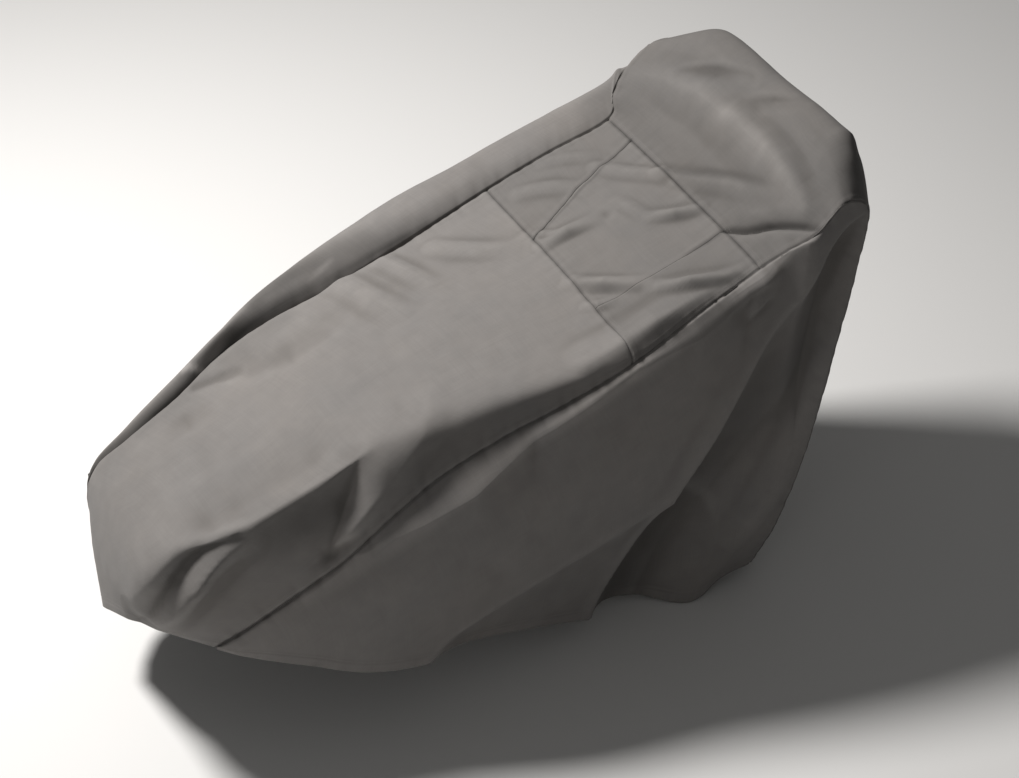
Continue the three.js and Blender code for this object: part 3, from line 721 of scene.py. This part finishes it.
# Mesh in metres from points in millimetres, faces and values at the points.
def addMesh(name, points, quads, smooth, attributes):
    mesh = bpy.data.meshes.new(name)
    points = (points - cloth["support"]) * cloth["metres"]
    mesh.vertices.add(len(points))
    mesh.vertices.foreach_set("co", points.astype(np.float32).ravel())
    mesh.loops.add(quads.size)
    mesh.loops.foreach_set("vertex_index", quads.astype(np.int32).ravel())
    mesh.polygons.add(len(quads))
    mesh.polygons.foreach_set("loop_start", np.arange(0, quads.size, quads.shape[1], dtype=np.int32))
    mesh.polygons.foreach_set("use_smooth", smooth)
    for key, values in attributes.items():
        kind, field = ("FLOAT_VECTOR", "vector") if values.ndim == 2 else ("FLOAT", "value")
        made = mesh.attributes.new(key, kind, "POINT")
        made.data.foreach_set(field, values.astype(np.float32).ravel())
    mesh.update(calc_edges=True)
    mesh.validate()
    return addObject(name, mesh)


# Edge rows and columns of a grid, with their neighbours
edges = {
    "first": (np.s_[0], np.s_[1]),
    "last": (np.s_[-1], np.s_[-2]),
    "start": (np.s_[:, 0], np.s_[:, 1]),
    "end": (np.s_[:, -1], np.s_[:, -2]),
}


# Closed sheet from a grid of outer points: an inner grid one thickness in, joined round the edges.
# Edges that meet another panel are drawn back by half a slit, and their seam allowance is turned in.
def addSheet(name, points, turned, facing, sewn, paintedLightAndTone):
    rows, columns = points.shape[:2]
    points, allowance = points.copy(), np.zeros((rows, columns, 1))
    place = np.stack([lengthAlong(points, 0), lengthAlong(points, 1), np.zeros((rows, columns))], 2)
    for edge in sewn:
        edgeAt, nextAt = edges[edge]
        points[edgeAt] += unit(points[nextAt] - points[edgeAt]) * cloth["slit"] / 2
        allowance[edgeAt] = sewing["allowance"]
    normals = gridNormals(points, facing)
    inner = points - cloth["thickness"] * normals - allowance * turned
    count = rows * columns
    corner = np.arange(count).reshape(rows, columns)
    quads = np.stack([corner[:-1, :-1], corner[1:, :-1], corner[1:, 1:], corner[:-1, 1:]], 2).reshape(-1, 4)
    ring = np.concatenate([corner[0, :-1], corner[:-1, -1], corner[-1, :0:-1], corner[:0:-1, 0]])
    onward = np.roll(ring, -1)
    rim = np.stack([ring, onward, onward + count, ring + count], 1)
    quads = np.vstack([quads, quads[:, ::-1] + count, rim])
    if facing == -1:
        quads = quads[:, ::-1]
    smooth = np.arange(len(quads)) < len(quads) - len(rim)
    # Places, ridges, and each panel's darkness with its painted light and shade, go to the points
    both = {
        "clothPlace": np.tile(place.reshape(-1, 3) * cloth["metres"], (2, 1)),
        "ridge": np.tile(ridgeShare(points, normals).ravel(), 2),
        "paintedLightAndTone": np.tile(paintedLightAndTone.ravel(), 2),
    }
    piece = addMesh(name, np.vstack([points.reshape(-1, 3), inner.reshape(-1, 3)]), quads, smooth, both)
    return piece, points, normals


# Line on a grid at a distance from one of its edges, and the cloth's normals there.
def lineBeside(points, normals, edge, distance):
    if edge in ("first", "last"):
        points, normals = points.swapaxes(0, 1), normals.swapaxes(0, 1)
    if edge in ("last", "end"):
        points, normals = points[:, ::-1], normals[:, ::-1]
    lengths = lengthAlong(points, 1)
    k = np.clip((lengths < distance).sum(1), 1, points.shape[1] - 1)
    row = np.arange(len(points))
    f = np.clip((distance - lengths[row, k - 1]) / (lengths[row, k] - lengths[row, k - 1]), 0, 1)[:, None]
    return mix(points[row, k - 1], points[row, k], f), normals[row, k]


# Stitches along lines on the cloth: each one a stretched octahedron, a pitch apart.
def addStitches(name, lines):
    ends = np.array([[-1, 0, 0], [1, 0, 0], [0, -1, 0], [0, 1, 0], [0, 0, -1], [0, 0, 1]]) / 2
    faces = np.array([[0, 2, 4], [2, 1, 4], [1, 3, 4], [3, 0, 4],
                      [2, 0, 5], [1, 2, 5], [3, 1, 5], [0, 3, 5]])
    corners, pitch = [], sewing["stitchPitch"]
    for line, normal in lines:
        length = lengthAlong(line[None], 1)[0]
        at = np.arange(pitch, length[-1] - pitch, pitch)
        sample = lambda values, where: np.stack(
            [np.interp(where, length, values[:, k]) for k in range(3)], 1)
        middle, up = sample(line, at), unit(sample(normal, at))
        ahead = unit(sample(line, at + 1) - sample(line, at - 1))
        axes = np.stack([ahead, np.cross(up, ahead), up], 1) * sewing["stitchSize"][:, None]
        corners.append(middle[:, None] + np.einsum("kj,njc->nkc", ends, axes))
    corners = np.concatenate(corners)
    numbers = faces[None] + len(ends) * np.arange(len(corners))[:, None, None]
    flat = np.zeros(numbers.size // 3, bool)
    return addMesh(name, corners.reshape(-1, 3), numbers.reshape(-1, 3), flat, {})


# Shader maths: wraps a socket of a material, and sums, differences and products of wires add Math nodes.
class Wire:
    def __init__(self, tree, socket=None):
        self.tree, self.socket = tree, socket

    def node(self, kind, settings={}, sockets={}, out=0):
        made = self.tree.nodes.new(kind)
        for name, value in settings.items():
            setattr(made, name, value)
        for name, value in sockets.items():
            if isinstance(value, Wire):
                self.tree.links.new(value.socket, made.inputs[name])
            else:
                made.inputs[name].default_value = value
        return Wire(self.tree, made.outputs[out])

    def feed(self, shader, name):
        self.tree.links.new(self.socket, shader.inputs[name])

    def math(self, operation, a, b=0.0):
        return self.node("ShaderNodeMath", {"operation": operation}, {0: a, 1: b})

    def attribute(self, name, out):
        return self.node("ShaderNodeAttribute", {"attribute_name": name}, out=out)

    def noise(self, place, scale, detail, roughness=0.5):
        return self.node("ShaderNodeTexNoise", sockets={
            "Vector": place, "Scale": scale, "Detail": detail, "Roughness": roughness,
        })

    def blend(self, factor, a, b, kind="MIX"):
        return self.node("ShaderNodeMix", {"data_type": "RGBA", "blend_type": kind, "clamp_factor": True},
                         {0: factor, 6: a, 7: b}, out=2)

    def __add__(self, other):
        return self.math("ADD", self, other)

    def __radd__(self, other):
        return self.math("ADD", other, self)

    def __sub__(self, other):
        return self.math("SUBTRACT", self, other)

    def __rsub__(self, other):
        return self.math("SUBTRACT", other, self)

    def __mul__(self, other):
        return self.math("MULTIPLY", self, other)

    def __rmul__(self, other):
        return self.math("MULTIPLY", other, self)


# New material with constants on its shader, that shader and a wire into its nodes.
def startMaterial(name, constants):
    material = bpy.data.materials.new(name)
    material.use_nodes = True
    shader = material.node_tree.nodes["Principled BSDF"]
    for socket, value in constants.items():
        shader.inputs[socket].default_value = value
    return material, shader, Wire(material.node_tree)


canvasLook = {
    "colour": (0.157, 0.150, 0.145, 1),
    "warm": (0.163, 0.152, 0.143, 1),
    "hollowColour": (0.088, 0.081, 0.075, 1),
    "bleached": (0.205, 0.196, 0.188, 1),
    "threads": 720,  # per metre, each way
    "slubScales": ((9, 420, 1), (420, 9, 1)),  # thick threads each way
    "mottle": (5.5, 6.0, 0.62),  # scale, detail and roughness of a noise
    "cloud": (38.0, 5.0),
    "grain": (95.0, 4.0),
    "warmFrom": 0.36,
    "warmGain": 2.2,
    "wear": 0.512,  # of ridges
    "hollowDarkening": 0.5,  # of hollows
    "tones": {"slub": 0.28, "weave": 0.10, "cloud": 0.16, "mottle": 0.16},  # how much each changes the tone
    "roughness": 0.86,
    "cloudRoughness": 0.12,
    "wornRoughness": -0.05,
    "weaveDepth": 0.00022,
    "weaveStrength": 0.5,
    "slubDepth": 2.2,  # against the weave
    "grainDepth": 0.0003,
    "grainStrength": 0.55,
    "cloudDepth": 1.5,  # against the grain
    "constants": {"Specular IOR Level": 0.22, "Sheen Weight": 0.06, "Sheen Roughness": 0.6},
}


# Woven canvas: a plain weave as the product of two sines on the cloth's own lengths, with thick threads,
# mottling, worn ridges, darker hollows, and each panel's darkness with its painted light and shade.
def makeCanvas():
    look = canvasLook
    material, shader, wire = startMaterial("taupeCanvas", look["constants"])
    place = wire.attribute("clothPlace", "Vector")
    # the panel's darkness with the painted light and shade of its tones
    ridge, paintedLightAndTone = wire.attribute("ridge", "Fac"), wire.attribute("paintedLightAndTone", "Fac")
    spot = wire.node("ShaderNodeTexCoord", out="Object")
    along = wire.node("ShaderNodeSeparateXYZ", sockets={0: place})
    down = Wire(wire.tree, along.socket.node.outputs[1])
    turns = math.pi * look["threads"]
    weave = wire.math("SINE", along * turns) * wire.math("SINE", down * turns) * 0.5 + 0.5
    slub = 0
    for scale in look["slubScales"]:
        stretched = wire.node("ShaderNodeMapping", sockets={"Vector": place, "Scale": scale})
        slub = wire.noise(stretched, 1.0, 2.0) * 0.5 + slub
    mottle, cloud, grain = (wire.noise(spot, *look[kind]) for kind in ("mottle", "cloud", "grain"))
    worn, hollow = wire.math("MAXIMUM", ridge), wire.math("MAXIMUM", 0.0 - ridge)
    tone = wire.blend((mottle - look["warmFrom"]) * look["warmGain"], look["colour"], look["warm"])
    tone = wire.blend(worn * cloud * look["wear"], tone, look["bleached"])
    # darker in hollows
    tone = wire.blend(hollow * look["hollowDarkening"], tone, look["hollowColour"])
    value = 1
    for source, share in zip((slub, weave, cloud, mottle), look["tones"].values()):
        value = (source - 0.5) * share + value
    # times the panel's darkness and its painted light and shade
    value = value * paintedLightAndTone
    grey = wire.node("ShaderNodeCombineColor", sockets={0: value, 1: value, 2: value})
    wire.blend(1.0, tone, grey, "MULTIPLY").feed(shader, "Base Color")
    rough = look["roughness"] + (cloud - 0.5) * look["cloudRoughness"] + worn * look["wornRoughness"]
    rough.feed(shader, "Roughness")
    fine = wire.node("ShaderNodeBump", sockets={
        "Strength": look["weaveStrength"], "Distance": look["weaveDepth"],
        "Height": weave + (slub - 0.5) * look["slubDepth"],
    })
    rumpled = wire.node("ShaderNodeBump", sockets={
        "Strength": look["grainStrength"], "Distance": look["grainDepth"],
        "Height": grain + cloud * look["cloudDepth"], "Normal": fine,
    })
    rumpled.feed(shader, "Normal")
    return material


threadLook = {
    "colour": (0.120, 0.112, 0.105, 1),
    "worn": (0.165, 0.155, 0.147, 1),
    "twist": (900.0, 2.0),  # scale and detail of a noise
    "wear": (14.0, 4.0),
    "twistTone": 0.6,
    "wearTone": 0.5,
    "darker": 0.05,
    "roughness": 0.7,
    "twistRoughness": 0.2,
}


# Sewing thread: a sum of two noises, for its twist and for places worn lighter.
def makeThread():
    look = threadLook
    material, shader, wire = startMaterial("taupeThread", {})
    spot = wire.node("ShaderNodeTexCoord", out="Object")
    twist, wear = (wire.noise(spot, *look[kind]) for kind in ("twist", "wear"))
    share = twist * look["twistTone"] + wear * look["wearTone"] - look["darker"]
    wire.blend(share, look["colour"], look["worn"]).feed(shader, "Base Color")
    rough = look["roughness"] + (twist - 0.5) * look["twistRoughness"]
    rough.feed(shader, "Roughness")
    return material


canvas = makeCanvas()
thread = makeThread()
print("canvas and thread mixed")

# Cut of each panel: sections and columns of the centre run, sewn edges, edges with seam and hem stitches, the
# flat cloth that it was cut from and the area of the cut, in metres, how dark its cloth is made and how it is
# held
strip = centreRun["stripColumns"]
whole = 2 * strip + centreRun["middleColumns"]
chestCut = {
    "sections": (lowerAt, upperAt), "sewn": ("first", "last", "start", "end"),
    "hems": (), "held": "stretched",
}
sideCut = {
    "sewn": ("start", "last"), "seams": (), "hems": ("end",),
    "flat": (0.98, 1.46), "paintedLightAndTone": 1.00, "held": "hung",
}
panels = {
    "ramp_panel": {
        "sections": (0, lowerAt), "columns": (0, whole), "sewn": ("last", "start", "end"),
        "seams": ("start", "end"), "hems": ("first",),
        "flat": (0.72, 1.16), "area": 0.62, "paintedLightAndTone": 1.00, "held": "draped",
    },
    "chest_strip_right": {
        **chestCut, "columns": (0, strip), "seams": ("start", "first"),
        "flat": (0.16, 0.30), "area": 0.042, "paintedLightAndTone": 0.80,
    },
    "chest_panel": {
        **chestCut, "columns": (strip, whole - strip), "seams": ("first",),
        "flat": (0.36, 0.29), "area": 0.087, "paintedLightAndTone": 0.86,
    },
    "chest_strip_left": {
        **chestCut, "columns": (whole - strip, whole), "seams": ("end", "first", "start"),
        "flat": (0.21, 0.31), "area": 0.042, "paintedLightAndTone": 0.80,
    },
    "head_panel": {
        "sections": (upperAt, hemAt), "columns": (0, whole), "sewn": ("first", "start", "end"),
        "seams": ("first", "start", "end"), "hems": ("last",),
        "flat": (0.76, 1.42), "area": 0.80, "paintedLightAndTone": 0.70, "held": "draped",
    },
    "side_panel_left": {**sideCut, "side": 1, "area": 0.88},
    "side_panel_right": {**sideCut, "side": -1, "area": 0.65},
}


def makePanel(node, cut):
    if "side" in cut:
        panel, facing = sides[cut["side"]], cut["side"]
        points, turned, tone = panel["dressed"], panel["shared"], panel["tone"]
    else:
        first, last = (np.abs(run["s"] - section).argmin() for section in cut["sections"])
        start, end = cut["columns"]
        part, facing = np.s_[first:last + 1, start:end + 1], 1
        points, turned, tone = run["dressed"][part], run["shared"][part], run["tone"][part]
    # The panel's darkness plus the painted light and shade of its tones
    paintedLightAndTone = cut["paintedLightAndTone"] + tone
    piece, points, normals = addSheet(node.replace("_", "-"), points, turned, facing, cut["sewn"], paintedLightAndTone)
    piece.data.materials.append(canvas)
    rows = [(edge, distance) for edge in cut["seams"] for distance in sewing["stitchRows"]]
    rows += [(edge, sewing["hemRow"]) for edge in cut["hems"]]
    lines = [lineBeside(points, normals, *row) for row in rows]
    stitches = addStitches(piece.name + "-stitches", lines)
    stitches.data.materials.append(thread)
    for made in (piece, stitches):
        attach(made, "root")
    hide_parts(node)
    print("panel", piece.name, len(piece.data.polygons), "quads,", len(rows), "rows of stitches")


for node, cut in panels.items():
    makePanel(node, cut)

studio = {
    "lookAt": np.array([-0.510, 0.0, -0.510]),
    "azimuth": -27.0,
    "elevation": 39.0,
    "distance": 4.058,
    "lens": 76.0,
    "sensor": 36.0,
    "lights": {
        "key": {"from": np.array([-0.42, 0.39, 0.82]), "distance": 3.6, "size": 0.8,
                "power": 210.0, "colour": (1.0, 0.975, 0.95)},
        "fill": {"from": np.array([-0.80, -0.58, 0.12]), "distance": 4.2, "size": 1.8,
                 "power": 13.0, "colour": (1.0, 0.99, 0.97)},
    },
    "sky": (1.0, 0.985, 0.965, 1),
    "skyStrength": 0.125,
    "floor": {"Base Color": (0.70, 0.70, 0.695, 1), "Roughness": 0.95, "Specular IOR Level": 0.1},
    "floorSize": 40.0,
    "floorGap": 0.002,
}


# Pale floor just under the lowest hem, a soft key light, a weak fill, an even sky and the camera.
def makeStudio():
    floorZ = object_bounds()[0][2] - studio["floorGap"]
    half = studio["floorSize"] / 2
    mesh = bpy.data.meshes.new("floor")
    corners = [(-half, -half, floorZ), (half, -half, floorZ), (half, half, floorZ), (-half, half, floorZ)]
    mesh.from_pydata(corners, [], [(0, 1, 2, 3)])
    floor = addObject("floor", mesh)
    mesh.materials.append(startMaterial("paleFloor", studio["floor"])[0])

    for name, values in studio["lights"].items():
        aim = unit(values["from"])
        light = bpy.data.lights.new(name, "AREA")
        light.shape, light.size = "DISK", values["size"]
        light.energy, light.color = values["power"], values["colour"]
        lamp = addObject(name, light)
        lamp.location = studio["lookAt"] + aim * values["distance"]
        lamp.rotation_euler = Vector(-aim).to_track_quat("-Z", "Y").to_euler()

    world = bpy.data.worlds.new("sky")
    world.use_nodes = True
    sky = world.node_tree.nodes["Background"]
    sky.inputs["Color"].default_value = studio["sky"]
    sky.inputs["Strength"].default_value = studio["skyStrength"]
    bpy.context.scene.world = world

    turn, rise = math.radians(studio["azimuth"]), math.radians(studio["elevation"])
    back = np.array([math.sin(turn) * math.cos(rise), -math.cos(turn) * math.cos(rise), math.sin(rise)])
    lens = bpy.data.cameras.new("camera")
    lens.lens, lens.sensor_width, lens.sensor_fit = studio["lens"], studio["sensor"], "HORIZONTAL"
    camera = addObject("camera", lens)
    camera.location = studio["lookAt"] + back * studio["distance"]
    camera.rotation_euler = Vector(-back).to_track_quat("-Z", "Y").to_euler()
    bpy.context.scene.camera = camera
    bpy.context.scene.view_settings.view_transform = "Standard"


makeStudio()
print("studio lit")
